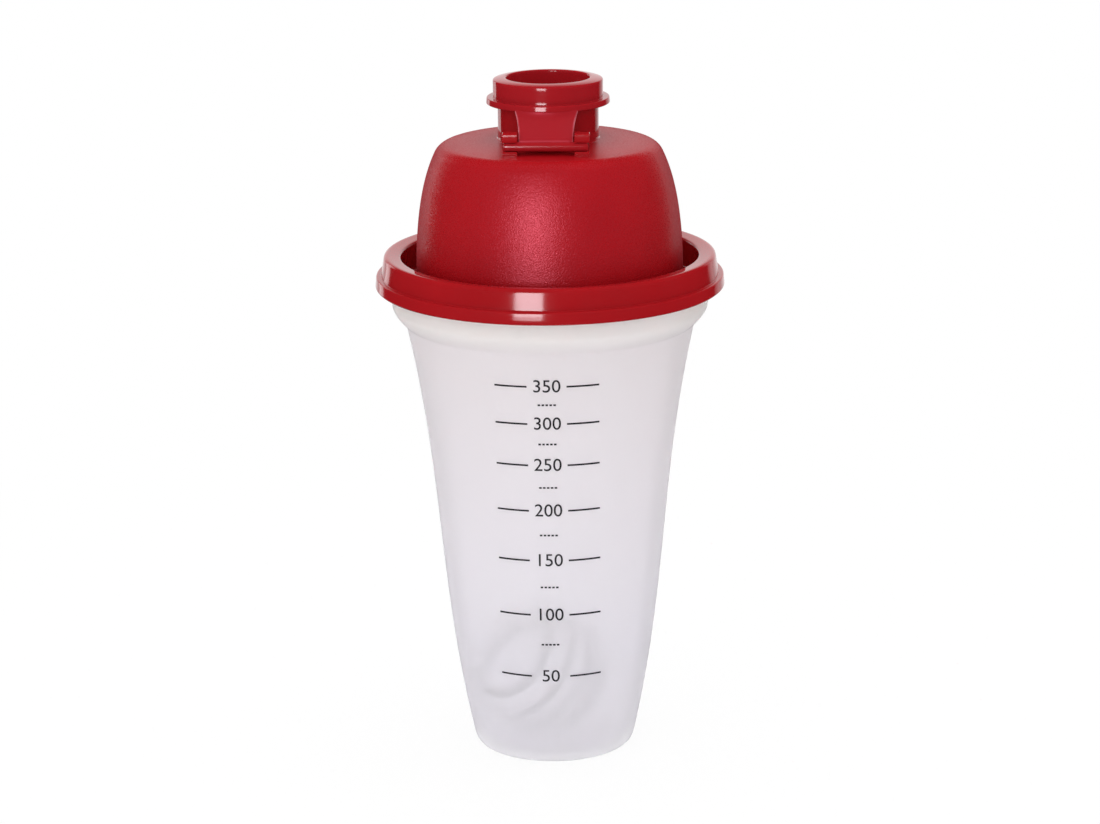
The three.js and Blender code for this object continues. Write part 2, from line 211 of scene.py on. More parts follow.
def outline(parts, closed=False):
    """One line through corners (r, z, fillet radius) and ready curves, in order."""
    curves = [np.array([p[:2]]) if isinstance(p, tuple) else p for p in parts]
    count = len(parts)
    line = []
    for i, part in enumerate(parts):
        inner = closed or 0 < i < count - 1
        if isinstance(part, tuple) and part[2] > 0 and inner:
            line.append(fillet(curves[i - 1][-1], curves[i][0], curves[(i + 1) % count][0], part[2]))
        else:
            line.append(curves[i])
    if closed:
        line.append(line[0][:1])
    return paced(np.concatenate(line))


def paced(line, step=STEP):
    """The same line with no stretch between points longer than a step."""
    spans = np.linalg.norm(np.diff(line, axis=0), axis=1)
    line = line[np.concatenate([[True], spans > SAME_POINT])]
    spans = np.linalg.norm(np.diff(line, axis=0), axis=1)
    along = np.concatenate([[0], np.cumsum(spans)])
    counts = np.maximum(1, np.ceil(spans / step)).astype(int)
    stations = [a + s * np.arange(n) / n for a, s, n in zip(along, spans, counts)]
    stations = np.concatenate([*stations, along[-1:]])
    return np.stack([np.interp(stations, along, line[:, 0]), np.interp(stations, along, line[:, 1])], 1)


def grid_faces(rows, columns, wrap_columns=False):
    """Quads between the points of a grid whose rows close on themselves."""
    r, c = np.meshgrid(np.arange(rows), np.arange(columns - (not wrap_columns)), indexing="ij")
    next_r, next_c = (r + 1) % rows, (c + 1) % columns
    corners = [r * columns + c, next_r * columns + c, next_r * columns + next_c, r * columns + next_c]
    return np.stack(corners, -1).reshape(-1, 4)


def revolve(line, turns=TURNS):
    """A profile carried round Z: x = r cos a, y = r sin a. It closes on itself, or ends on the axis."""
    angles = 2 * math.pi * np.arange(turns) / turns
    on_axis = line[0, 0] < SAME_POINT
    ring = line[1:-1] if on_axis else line[:-1]
    r, z = ring[:, 0], ring[:, 1]
    across, along = np.outer(np.cos(angles), r), np.outer(np.sin(angles), r)
    points = np.stack([across, along, np.broadcast_to(z, across.shape)], -1).reshape(-1, 3)
    faces = [grid_faces(turns, len(ring), wrap_columns=not on_axis)]
    if on_axis:
        poles = np.array([[0, 0, line[0, 1]], [0, 0, line[-1, 1]]])
        first = np.arange(turns) * len(ring)
        last = first + len(ring) - 1
        low, high = np.full(turns, len(points)), np.full(turns, len(points) + 1)
        points = np.concatenate([points, poles])
        faces.append(np.stack([low, np.roll(first, -1), first], 1))
        faces.append(np.stack([last, np.roll(last, -1), high], 1))
    return points, faces


def carried(grid):
    """A closed tube from a grid of sections (section, point round it, xyz), with flat ends."""
    sections, around = grid.shape[:2]
    points = grid.reshape(-1, 3)
    faces = grid_faces(around, sections)
    across, along = np.divmod(faces, sections)
    ends = np.arange(around)
    return points, [along * around + across, ends[None, ::-1], ends[None] + (sections - 1) * around]


def rounded_box(half_width, half_height, radius, corner_steps=5):
    """A rounded rectangle about the origin, run round once counter-clockwise."""
    turn = np.linspace(0, math.pi / 2, corner_steps)
    angles = np.concatenate([turn + k * math.pi / 2 for k in range(4)])
    signs = np.repeat(np.array([(1, 1), (-1, 1), (-1, -1), (1, -1)]), corner_steps, axis=0)
    middles = signs * (half_width - radius, half_height - radius)
    return middles + radius * np.stack([np.cos(angles), np.sin(angles)], 1)


def piece(name, shells, material, body):
    """Joins closed shells into one smooth mesh at the origin that rides on a body."""
    starts = np.cumsum([0] + [len(points) for points, _ in shells[:-1]])
    faces = []
    for (_, blocks), start in zip(shells, starts):
        for block in blocks:
            faces += (block + start).tolist()
    mesh = bpy.data.meshes.new(name)
    mesh.from_pydata(np.concatenate([points for points, _ in shells]).tolist(), [], faces)
    mesh.shade_smooth()
    mesh.materials.append(material)
    made = bpy.data.objects.new(name, mesh)
    bpy.context.scene.collection.objects.link(made)
    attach(made, body)
    return made


def bevelled(made, width, segments=3):
    """Rounds the sharp edges of a piece."""
    bevel = made.modifiers.new("rounded edges", "BEVEL")
    bevel.width = width
    bevel.segments = segments
    bevel.limit_method = "ANGLE"
    bevel.angle_limit = math.radians(40)
    bevel.harden_normals = True
    return made


def feed(tree, socket, value):
    """Links a node's input to another node's output, or sets its value."""
    if isinstance(value, bpy.types.NodeSocket):
        tree.links.new(value, socket)
    else:
        socket.default_value = value


def maths(tree, operation, a, b):
    """Two values or sockets put through one Math node."""
    made = tree.nodes.new("ShaderNodeMath")
    made.operation = operation
    feed(tree, made.inputs[0], a)
    feed(tree, made.inputs[1], b)
    return made.outputs[0]


def ramp(tree, value, start, end, low=0.0, high=1.0):
    """A value carried from start..end to low..high, and held beyond them."""
    made = tree.nodes.new("ShaderNodeMapRange")
    tree.links.new(value, made.inputs["Value"])
    for key, number in zip(("From Min", "From Max", "To Min", "To Max"), (start, end, low, high)):
        made.inputs[key].default_value = number
    return made.outputs["Result"]


# Noise scales in cells to the metre
CLOUD_SCALE = 55
GLOSS_SCALE = 140
RIPPLE_SCALE = 260
GRAIN_SCALE = 2500

MIDDLE = (0.35, 0.65)  # parts of a noise's range that are stretched over the whole
WIDE = (0.3, 0.7)
SKIN_DEPTH = 0.1 * MM  # relief of a smooth moulded skin
GRAIN_DEPTH = 0.14 * MM
GRAIN_FADE = (2 * MM, 0.3 * MM)  # below and above the crown, where the grain wears smooth
HIGHLIGHT_BAND = (0.935, 0.985)  # share of the way to the strap's edge where the painted highlight starts and is full
SHADE_REACH = (0.8 * MM, 0.15 * MM)  # depth in a rib where the painted shade starts and is full
WARM = (35 * MM, 140 * MM)  # heights between which the cup's colour turns warm
MOULDED_IOR = 1.52
RING_ROUGHNESS = 0.11
CAP_ROUGHNESS = 0.1


class Finish:
    """A node material under construction: a Principled shader and short calls that feed it."""

    def __init__(self, name, base, roughness):
        self.material = bpy.data.materials.new(name)
        self.material.use_nodes = True
        self.tree = self.material.node_tree
        self.shader = self.tree.nodes["Principled BSDF"]
        self.set("Base Color", (*base, 1))
        self.set("Roughness", roughness)
        self.place = self.node("ShaderNodeTexCoord").outputs["Object"]

    def set(self, socket, value):
        """One value that is the same all over, on the shader's own socket."""
        self.shader.inputs[socket].default_value = value

    def node(self, kind, attribute=None, **inputs):
        """A node with values or links on its inputs, which are named with _ for a space."""
        made = self.tree.nodes.new(kind)
        if attribute:
            made.attribute_name = attribute
        for key, value in inputs.items():
            feed(self.tree, made.inputs[key.replace("_", " ")], value)
        return made

    def noise(self, scale, detail=2.0, roughness=0.5):
        """Noise in the piece's own place; scale is in cells to the metre."""
        made = self.node("ShaderNodeTexNoise", Vector=self.place, Scale=scale)
        made.inputs["Detail"].default_value = detail
        made.inputs["Roughness"].default_value = roughness
        return made.outputs["Fac"]

    def ranged(self, value, low, high, start=0.0, end=1.0):
        """A value carried from start..end to low..high."""
        return ramp(self.tree, value, start, end, low, high)

    def product(self, a, b):
        """Two values multiplied."""
        return maths(self.tree, "MULTIPLY", a, b)

    def blend(self, amount, a, b):
        """One colour turned into another by an amount."""
        made = self.tree.nodes.new("ShaderNodeMix")
        made.data_type = "RGBA"
        feed(self.tree, made.inputs["Factor"], amount)
        feed(self.tree, made.inputs[6], a)
        feed(self.tree, made.inputs[7], b)
        return made.outputs[2]

    def clouded(self, base, dark, light, scale=CLOUD_SCALE, detail=3):
        """A pigment in soft clouds between a darker and a lighter shade of one colour."""
        cloud = self.ranged(self.noise(scale, detail), 0, 1, *MIDDLE)
        return self.blend(cloud, shade(base, dark), shade(base, light))

    def height(self):
        """Height above the table."""
        return self.node("ShaderNodeSeparateXYZ", Vector=self.place).outputs["Z"]

    def distance(self, centre):
        """Distance from a point."""
        made = self.tree.nodes.new("ShaderNodeVectorMath")
        made.operation = "DISTANCE"
        feed(self.tree, made.inputs[0], self.place)
        feed(self.tree, made.inputs[1], centre)
        return made.outputs["Value"]

    def link(self, socket, value):
        """A pattern on one of the shader's sockets."""
        self.tree.links.new(value, self.shader.inputs[socket])

    def bump(self, height, strength, distance):
        """Small relief from a height pattern."""
        made = self.node("ShaderNodeBump", Height=height, Strength=strength, Distance=distance)
        self.link("Normal", made.outputs["Normal"])


def shade(base, factor):
    """A colour made lighter or darker, with full alpha."""
    return (*(min(1.0, c * factor) for c in base), 1)


def red_polished(name, base, roughness):
    """Red plastic from a polished mould: cloudy pigment and small changes of gloss."""
    finish = Finish(name, base, roughness)
    finish.link("Base Color", finish.clouded(base, 0.95, 1.04))
    gloss = finish.ranged(finish.noise(GLOSS_SCALE, 3), roughness * 0.8, roughness * 1.2, *WIDE)
    finish.link("Roughness", gloss)
    finish.bump(finish.noise(RIPPLE_SCALE, 1), 0.03, SKIN_DEPTH)
    finish.set("IOR", MOULDED_IOR)
    finish.set("Specular Tint", (1.0, 0.95, 1.0, 1))
    return finish.material


def red_satin(name, base, worn):
    """Softer red plastic for the strap, with a painted highlight along its two side edges."""
    finish = Finish(name, base, 0.34)
    body = finish.clouded(base, 0.95, 1.04)
    share = finish.node("ShaderNodeAttribute", attribute="edge").outputs["Fac"]
    patches = finish.ranged(finish.noise(420, 2), 0.55, 1, *MIDDLE)
    # A painted highlight: a paler colour in patches along the strap's two side edges.
    painted_light = finish.product(finish.ranged(share, 0, 1, *HIGHLIGHT_BAND), patches)
    finish.link("Base Color", finish.blend(painted_light, body, (*worn, 1)))
    finish.link("Roughness", finish.ranged(finish.noise(GLOSS_SCALE, 3), 0.28, 0.4, *WIDE))
    finish.bump(finish.noise(RIPPLE_SCALE, 1), 0.03, SKIN_DEPTH)
    finish.set("IOR", MOULDED_IOR)
    finish.set("Specular Tint", (1.0, 0.2, 0.3, 1))
    return finish.material


def red_grained(name, base, crown):
    """Red plastic from a spark-grained mould: fine speckle that catches the light, smoother on the deck.

    The value wall is 1 on the dome's wall and 0 on the deck, and the grain is deeper where it is high.
    At a low angle the gloss spreads wider.
    """
    finish = Finish(name, base, 0.36)
    speck = finish.noise(GRAIN_SCALE, 2, 0.6)
    tone = finish.clouded(base, 1.06, 1.16)
    pits = finish.ranged(speck, 0, 0.2, 0.4, 0.7)
    finish.link("Base Color", finish.blend(pits, tone, shade(base, 0.9)))
    wall = finish.ranged(finish.height(), 1, 0, crown - GRAIN_FADE[0], crown + GRAIN_FADE[1])
    facing = finish.node("ShaderNodeLayerWeight", Blend=0.5).outputs["Facing"]
    spread = finish.product(finish.ranged(facing, 0, 1, 0.6, 0.95), finish.ranged(wall, 0.65, 1))
    gloss = finish.product(finish.ranged(speck, 0.25, 0.34, *MIDDLE), finish.ranged(wall, 0.79, 1))
    finish.link("Roughness", finish.product(gloss, finish.ranged(spread, 1, 2.9)))
    finish.bump(finish.product(speck, finish.ranged(wall, 0.25, 1)), 0.75, GRAIN_DEPTH)
    finish.set("IOR", 1.65)
    finish.set("Specular IOR Level", 0.75)
    finish.set("Specular Tint", (0.9, 0.215, 0.3, 1))
    return finish.material


def milky_wall(cup):
    """Milky polypropylene that scatters what passes: cool low down, warmer above, and painted paler on the
    collar against the lid's shade.
    """
    finish = Finish("milky_plastic", cup.milky, 0.32)
    lift = finish.ranged(finish.height(), 0, 1, *WARM)
    # collar is the share of painted lightening on the collar, against the lid's shade
    collar = finish.ranged(finish.height(), 0, 1, cup.top_height, cup.top_height + SHOULDER[1])
    tint = finish.blend(lift, (*cup.milky, 1), (*cup.warm, 1))
    tint = finish.blend(collar, tint, (*cup.collar, 1))
    streak = finish.ranged(finish.noise(38, 2), 0, 1, *WIDE)
    finish.link("Base Color", finish.blend(finish.product(streak, 0.35), tint, (*cup.streak, 1)))
    finish.link("Roughness", finish.ranged(finish.noise(160, 2), 0.64, 0.72))
    finish.bump(finish.noise(650, 2), 0.05, SKIN_DEPTH)
    finish.set("Transmission Weight", 0.58)
    finish.set("IOR", 1.12)
    finish.set("Specular IOR Level", 0.1)
    return finish.material


def white_moulded(ball, centre):
    """White plastic with a satin skin, and painted shade in dark grey on the ribs' outer edges beside the
    cup's wall.
    """
    finish = Finish("white_plastic", ball.white, 0.42)
    clean = finish.clouded(ball.white, 0.96, 1.03, 90, 2)
    reach = finish.distance(centre)
    # A painted shade: dark grey in patches on the ribs' outer edges, near the cup's wall.
    painted_light = finish.ranged(reach, 0, 1, ball.radius - SHADE_REACH[0], ball.radius - SHADE_REACH[1])
    patches = finish.ranged(finish.noise(280, 2), 0.75, 1, 0.35, 0.6)
    finish.link("Base Color", finish.blend(finish.product(painted_light, patches), clean, (*ball.scuffed, 1)))
    finish.bump(finish.noise(900, 2), 0.06, SKIN_DEPTH)
    return finish.material


def printed_ink(base):
    """Black screen-printing ink, a little uneven."""
    finish = Finish("black_ink", base, 0.45)
    cover = finish.ranged(finish.noise(700, 2), 0, 1, *WIDE)
    finish.link("Base Color", finish.blend(cover, shade(base, 0.6), shade(base, 1.8)))
    finish.link("Roughness", finish.ranged(cover, 0.4, 0.52))
    return finish.material


WALL_FLARE = spot(10.3 * MM, 47 * MM)  # handles of the cup's S-shaped wall
FOOT_RISE = 3 * MM
FOOT_INSET = 1.9 * MM
FOOT_RING = 3.6 * MM
FOOT_RECESS = 1.2 * MM
BASE_THICKNESS = 1.8 * MM
FLOOR_ROUND = 2.5 * MM
SHOULDER = spot(3.5 * MM, 5.8 * MM)  # heights of the shoulder's corner and of its top
COLLAR_WALL = 1.6 * MM
RIM_BEAD = spot(0.35 * MM, 2.4 * MM)  # how far the bead stands out, and its height

# Filling scale
FILL_STEPS = 600
INK_PROUD = 0.02 * MM
INK_THICKNESS = 0.05 * MM
MAJOR_HALF = 15 * MM
MAJOR_GAP = 5.6 * MM  # half the room left for a number
STROKE = 0.5 * MM
STROKE_STEPS = 12
DASHES = 5
DASH_PITCH = 1.1 * MM
DASH_HALF = 0.36 * MM
NUMBER_SIZE = 5.4 * MM


def cup_wall(cup, inset, bottom):
    """The S-shaped wall at a distance inside its outer face, upwards."""
    low = spot(cup.bottom_radius - inset, bottom)
    high = spot(cup.top_radius - inset, cup.top_height)
    low_handle = spot(low[0], FOOT_RISE) + WALL_FLARE
    return cubic(low, low_handle, high - WALL_FLARE, high, 70)


def cup_shoulder(cup, wall_radius, collar_radius):
    """The shoulder from the wall up to the straight collar."""
    start = spot(wall_radius, cup.top_height)
    corner = spot(collar_radius, cup.top_height + SHOULDER[0])
    return quadratic(start, corner, spot(collar_radius, cup.top_height + SHOULDER[1]), 16)


def cup_inside(cup):
    """The inner face from the floor's corner up to the collar."""
    floor = FOOT_RECESS + BASE_THICKNESS
    wall = cup_wall(cup, cup.wall, floor + FLOOR_ROUND)
    shoulder = cup_shoulder(cup, cup.top_radius - cup.wall, cup.collar_radius - COLLAR_WALL)
    return np.concatenate([wall, shoulder[1:]])


def cup_profile(cup):
    """Foot ring, outer wall, collar and rim, then down the inner face to the floor."""
    foot = cup.bottom_radius - FOOT_INSET
    ring = foot - FOOT_RING
    floor = FOOT_RECESS + BASE_THICKNESS
    collar, bead = cup.collar_radius, cup.collar_radius + RIM_BEAD[0]
    inner = collar - COLLAR_WALL
    bead_low = cup.rim_height - RIM_BEAD[1]
    corner = spot(cup.bottom_radius - FOOT_INSET / 3, 0)
    inside = cup_inside(cup)
    floor_corner = [inside[0], spot(inside[0][0], floor), spot(inside[0][0] - FLOOR_ROUND, floor)]
    return outline([
        (0, FOOT_RECESS, 0),
        (ring - FOOT_RECESS, FOOT_RECESS, 0.8 * MM),
        (ring, 0, 0.5 * MM),
        quadratic(spot(foot, 0), corner, spot(cup.bottom_radius, FOOT_RISE)),
        cup_wall(cup, 0, FOOT_RISE)[1:],
        cup_shoulder(cup, cup.top_radius, collar)[1:],
        (collar, bead_low - RIM_BEAD[0], 0.3 * MM),
        (bead, bead_low, 0.2 * MM),
        (bead, cup.rim_height, 0.6 * MM),
        (inner, cup.rim_height, 0.6 * MM),
        inside[::-1],
        quadratic(*floor_corner)[1:],
        (0, floor, 0),
    ])


def wrap(cup, flat):
    """Points drawn flat (across, height), laid round the front of the wall: x = r sin(across / r)."""
    wall = cup_wall(cup, 0, FOOT_RISE)
    r = np.interp(flat[:, 1], wall[:, 1], wall[:, 0]) + INK_PROUD
    turn = flat[:, 0] / r
    return np.stack([r * np.sin(turn), -r * np.cos(turn), flat[:, 1]], 1)


def fill_heights(cup, volumes):
    """Heights at which the cup holds these volumes: the inner face's discs summed upwards."""
    inside = cup_inside(cup)
    z = np.linspace(FOOT_RECESS + BASE_THICKNESS, cup.rim_height, FILL_STEPS)
    area = math.pi * np.interp(z, inside[:, 1], inside[:, 0]) ** 2
    held = np.concatenate([[0], np.cumsum((area[1:] + area[:-1]) / 2 * np.diff(z))])
    return np.interp(np.asarray(volumes) * MILLILITRE, held, z)


def stroke(cup, start, end, height):
    """One printed stroke across the wall: a strip of short steps, as a sheet."""
    across = np.linspace(start, end, STROKE_STEPS)
    edges = [np.stack([across, np.full(STROKE_STEPS, height + side * STROKE / 2)], 1) for side in (-1, 1)]
    low = np.arange(STROKE_STEPS - 1)
    high = low + STROKE_STEPS
    return wrap(cup, np.concatenate(edges)), [np.stack([low, low + 1, high + 1, high], 1)]


def dashes(cup, height):
    """A centred row of short strokes."""
    middles = (np.arange(DASHES) - (DASHES - 1) / 2) * DASH_PITCH
    return [stroke(cup, m - DASH_HALF, m + DASH_HALF, height) for m in middles]


def numeral(cup, text, height):
    """A plain number set in Blender's own font, centred on the front at a height, as a sheet."""
    curve = bpy.data.curves.new("number", "FONT")
    curve.body = text
    curve.size = NUMBER_SIZE
    curve.align_x = "CENTER"
    curve.align_y = "CENTER"
    curve.resolution_u = 6
    written = bpy.data.objects.new("number", curve)
    bpy.context.scene.collection.objects.link(written)
    flat = bpy.data.meshes.new_from_object(written.evaluated_get(bpy.context.evaluated_depsgraph_get()))
    points = np.empty(len(flat.vertices) * 3)
    flat.vertices.foreach_get("co", points)
    points = points.reshape(-1, 3)[:, :2] + (0, height)
    faces = [np.array([list(p.vertices)]) for p in flat.polygons]
    bpy.data.objects.remove(written)
    bpy.data.curves.remove(curve)
    bpy.data.meshes.remove(flat)
    return wrap(cup, points), faces


class SHAKER_OT_cup(bpy.types.Operator):
    """Turn the flared milky cup"""

    bl_idname = "shaker.cup"
    bl_label = "Cup"

    def execute(self, context):
        cup = context.scene.shaker_cup
        made = piece("cup_body", [revolve(cup_profile(cup))], milky_wall(cup), "cup")
        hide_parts("cup")
        return {"FINISHED"}


class SHAKER_OT_scale(bpy.types.Operator):
    """Print a plain filling scale on the front of the cup"""

    bl_idname = "shaker.scale"
    bl_label = "Filling scale"

    def execute(self, context):
        cup = context.scene.shaker_cup
        volumes = range(cup.mark_every, cup.mark_top + 1, cup.mark_every)
        shells = []
        for volume, height in zip(volumes, fill_heights(cup, volumes)):
            shells.append(stroke(cup, -MAJOR_HALF, -MAJOR_GAP, height))
            shells.append(stroke(cup, MAJOR_GAP, MAJOR_HALF, height))
            shells.append(numeral(cup, str(volume), height))
        halfway = np.array(volumes[:-1]) + cup.mark_every / 2
        for height in fill_heights(cup, halfway):
            shells += dashes(cup, height)
        made = piece("cup_scale", shells, printed_ink(cup.ink), "cup")
        film = made.modifiers.new("ink film", "SOLIDIFY")
        film.thickness = INK_THICKNESS
        film.offset = 1.0
        return {"FINISHED"}


LID_SKIRT = spot(46.4 * MM, 138.8 * MM)  # inner lower edge of the ring
FLANGE_THICKNESS = 3.7 * MM
FLANGE_CHAMFER = 0.6 * MM
FLANGE_DRAFT = 0.31 * MM  # how much wider the flange is at its foot
RING_TOP = 148 * MM
RING_ROUND = 1.2 * MM
RING_DRAFT = 1 * MM  # how much wider the ring is at its foot
RING_CREST = 0.6 * MM  # outer edge of the ring above its inner edge
CHANNEL_TOP = 146.5 * MM
PLUG_RADIUS = 43.75 * MM
MOAT_EDGE = 42.85 * MM
MOAT_DRAFT = 0.5 * MM
MOAT_FLOOR = 139.8 * MM
DOME_FOOT = 1.5 * MM  # where the dome's curve starts above the moat's floor
DOME_RISE = 20 * MM
CROWN_RADIUS = 28.3 * MM
CROWN_FILLET = 4.9 * MM
CROWN_LEAN = math.radians(25.5)
CROWN_HANDLE = 8 * MM
DECK_RISE = 1.3 * MM
NECK_SHOULDER = 191.75 * MM
LIP_RADIUS = 13.7 * MM
LIP_TOP = 193.2 * MM
BORE_RADIUS = 12.9 * MM
GRAIN_GAP = 0.3 * MM  # from the neck to where the grain starts
GRAIN_LOW = MOAT_FLOOR + 1 * MM


def dome_wall(lid, inset, bottom):
    """The dome's wall at a distance inside its outer face, up to the crown and over its rounding."""
    round_over = CROWN_FILLET - inset
    centre = spot(CROWN_RADIUS, lid.crown_height - CROWN_FILLET)
    lean = np.array((math.cos(CROWN_LEAN), math.sin(CROWN_LEAN)))
    base = spot(lid.dome_radius - inset, bottom)
    end = centre + round_over * lean
    handle = end + CROWN_HANDLE * np.array((lean[1], -lean[0]))
    wall = cubic(base, spot(base[0], MOAT_FLOOR + DOME_RISE), handle, end, 48)
    return np.concatenate([wall, arc(centre, round_over, CROWN_LEAN, math.pi / 2, 12)[1:]])


def lid_profile(lid):
    """Flange, ring, moat, dome, deck and neck outside, then down the inside to the plug and channel."""
    deck = lid.crown_height + DECK_RISE
    flange_top = LID_SKIRT[1] + FLANGE_THICKNESS
    return outline([
        (*LID_SKIRT, 0.3 * MM),
        (lid.flange_radius - FLANGE_CHAMFER, LID_SKIRT[1], 0.5 * MM),
        (lid.flange_radius, LID_SKIRT[1] + FLANGE_CHAMFER, 0.5 * MM),
        (lid.flange_radius - FLANGE_DRAFT, flange_top, 0.5 * MM),
        (lid.ring_radius + RING_DRAFT, flange_top, 0.3 * MM),
        (lid.ring_radius, RING_TOP + RING_CREST, RING_ROUND),
        (MOAT_EDGE, RING_TOP, 0.8 * MM),
        (MOAT_EDGE - MOAT_DRAFT, MOAT_FLOOR, 0.9 * MM),
        (lid.dome_radius, MOAT_FLOOR, 0.9 * MM),
        dome_wall(lid, 0, MOAT_FLOOR + DOME_FOOT),
        (lid.neck_radius, deck, 0.9 * MM),
        (lid.neck_radius, NECK_SHOULDER, 0.25 * MM),
        (LIP_RADIUS, NECK_SHOULDER, 0.2 * MM),
        (LIP_RADIUS, LIP_TOP, 0.3 * MM),
        (BORE_RADIUS, LIP_TOP, 0.3 * MM),
        (BORE_RADIUS, deck - lid.wall, 0.8 * MM),
        dome_wall(lid, lid.wall, MOAT_FLOOR)[::-1],
        (lid.dome_radius - lid.wall, LID_LOW.z, 0.6 * MM),
        (PLUG_RADIUS, LID_LOW.z, 0.6 * MM),
        (PLUG_RADIUS, CHANNEL_TOP, 0.4 * MM),
        (LID_SKIRT[0], CHANNEL_TOP, 0.4 * MM),
    ], closed=True)


CLIP_INNER = 8 * MM
CLIP_WIDTH = 4.2 * MM
CLIP_TOP = 3.75 * MM
CLIP_BACK = 2.6 * MM
CLIP_FRONT = 1.5 * MM
CLIP_MOUTH = 1.8 * MM  # half the height of the mouth
CLIP_THROAT = 1.2 * MM
CLIP_BORE = 1.7 * MM
CLIP_SINK = 0.6 * MM  # how deep its foot stands in the deck
CLIP_BEVEL = 0.15 * MM


def clip_outline(crown):
    """Side view of a hinge clip about the pivot: a C that opens forward with a flared mouth."""
    y, z = PIVOT[1], PIVOT[2]
    half = math.asin(CLIP_THROAT / CLIP_BORE)
    root = crown - CLIP_SINK
    bore = arc(spot(y, z), CLIP_BORE, math.pi - half, half - math.pi, 24)
    line = [
        (y + CLIP_BACK, root, 0),
        (y + CLIP_BACK, z + CLIP_TOP, 0.45 * MM),
        (y - CLIP_FRONT, z + CLIP_TOP, 0.35 * MM),
        (y - CLIP_FRONT, z + CLIP_MOUTH, 0.2 * MM),
        bore,
        (y - CLIP_FRONT, z - CLIP_MOUTH, 0.2 * MM),
        (y - CLIP_FRONT, root, 0),
    ]
    return outline(line)


def slab(line, start, end):
    """An outline in (Y, Z) carried along X from start to end, with flat sides."""
    ends = np.array([start, end])
    grid = np.empty((2, len(line), 3))
    grid[:, :, 0] = ends[:, None]
    grid[:, :, 1:] = line
    return carried(grid)


def on_dome(lid, shell):
    """For each face of the turned lid, whether it lies on the dome or the deck, inside or out."""
    points, (quads,) = shell
    middle = points[quads].mean(1)
    reach = np.hypot(middle[:, 0], middle[:, 1])
    between = (reach > lid.neck_radius + GRAIN_GAP) & (reach < lid.dome_radius)
    return between & (middle[:, 2] > GRAIN_LOW)


class SHAKER_OT_lid(bpy.types.Operator):
    """Turn the lid and add the two hinge clips on its deck"""

    bl_idname = "shaker.lid"
    bl_label = "Lid"

    def execute(self, context):
        lid = context.scene.shaker_lid
        shell = revolve(lid_profile(lid))
        red = red_polished("red_polished", lid.red, RING_ROUGHNESS)
        made = piece("lid_body", [shell], red, "lid")
        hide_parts("lid")
        made.data.materials.append(red_grained("red_grained", lid.grained_red, lid.crown_height))
        made.data.polygons.foreach_set("material_index", on_dome(lid, shell).astype(np.int32))
        line = clip_outline(lid.crown_height)
        sides = [(-CLIP_INNER - CLIP_WIDTH, -CLIP_INNER), (CLIP_INNER, CLIP_INNER + CLIP_WIDTH)]
        clips = piece("hinge_clips", [slab(line, *side) for side in sides], red, "lid")
        bevelled(clips, CLIP_BEVEL)
        return {"FINISHED"}


CAP_BOTTOM = 192.05 * MM
CAP_FLANGE_THICKNESS = 1.75 * MM
CAP_CREST = 0.6 * MM  # inner edge of the top above its outer edge
CAP_CROWN = 1.9 * MM  # how far in from the side the top has levelled out
CAP_WALL = 1.1 * MM
CAP_FLANGE_DRAFT = 0.21 * MM  # how much wider its flange is at its foot
CAP_ROUND = 0.5 * MM
RECESS_EDGE = 0.5 * MM
CAP_SKIRT = 14.3 * MM
RECESS_DEPTH = 6.9 * MM
RECESS_ROUND = 3 * MM
AXLE_HALF = 11.8 * MM
AXLE_TURNS = 48
STRAP_HALF = 7.65 * MM
STRAP_FLARE = 1.6 * MM
STRAP_ROUND = 0.58 * MM
STRAP_TUCK = 0.75 * MM  # middle of the strap behind the flange's rim
STRAP_DROP = 1.9 * MM  # height over which it hangs straight before it leans out
STRAP_CREASE = 1.7 * MM  # fold above the pivot
STRAP_BEND = 4 * MM
STRAP_FOLD = 0.8 * MM
STRAP_STEP = 0.25 * MM


def cap_profile(cap):
    """From the underside of the bowl out under the skirt, up the outside and down into the recess.

    The crowned top leaves its first and last points to the roundings beside it.
    """
    top = cap.top_height
    bowl = spot(cap.recess_radius - RECESS_ROUND, top - RECESS_DEPTH + RECESS_ROUND)
    outer = RECESS_ROUND + CAP_WALL
    flange_top = CAP_BOTTOM + CAP_FLANGE_THICKNESS
    edge = spot(cap.radius, top - CAP_CREST)
    crown = quadratic(edge, spot(cap.radius - CAP_CROWN, top), spot(cap.recess_radius, top))
    return outline([
        (0, bowl[1] - outer, 0),
        arc(bowl, outer, -math.pi / 2, 0),
        (bowl[0] + outer, top - CAP_WALL, 0.3 * MM),
        (CAP_SKIRT, top - CAP_WALL, 0.3 * MM),
        (CAP_SKIRT, CAP_BOTTOM, 0.2 * MM),
        (cap.flange_radius, CAP_BOTTOM, 0.3 * MM),
        (cap.flange_radius - CAP_FLANGE_DRAFT, flange_top, 0.3 * MM),
        (cap.radius, flange_top, 0.2 * MM),
        (*edge, CAP_ROUND),
        crown[2:-2],
        (cap.recess_radius, top, RECESS_EDGE),
        arc(bowl, RECESS_ROUND, 0, -math.pi / 2),
        (0, bowl[1] - RECESS_ROUND, 0),
    ])


def strap_section(thickness):
    """A rounded rectangle with short steps along its two long sides."""
    box = rounded_box(STRAP_HALF, thickness / 2, STRAP_ROUND)
    return paced(np.concatenate([box, box[:1]]))[:-1]


def strap_side(cap):
    """Side view of the strap's middle in (Y, Z), from the flange's rim down to the pivot."""
    middle = CAP_BOTTOM + CAP_FLANGE_THICKNESS / 2
    bow = cap.flange_radius - STRAP_TUCK
    side = outline([
        (-bow, middle, 0),
        (-bow, middle - STRAP_DROP, STRAP_BEND),
        (PIVOT[1], PIVOT[2] + STRAP_CREASE, STRAP_FOLD),
        (PIVOT[1], PIVOT[2], 0),
    ])
    return paced(side, STRAP_STEP)


def edge_share(cap):
    """For each point of the strap, 0 on its middle line and 1 on its side edges."""
    share = np.abs(strap_section(cap.strap_thickness)[:, 0]) / STRAP_HALF
    return np.tile(share, len(strap_side(cap)))


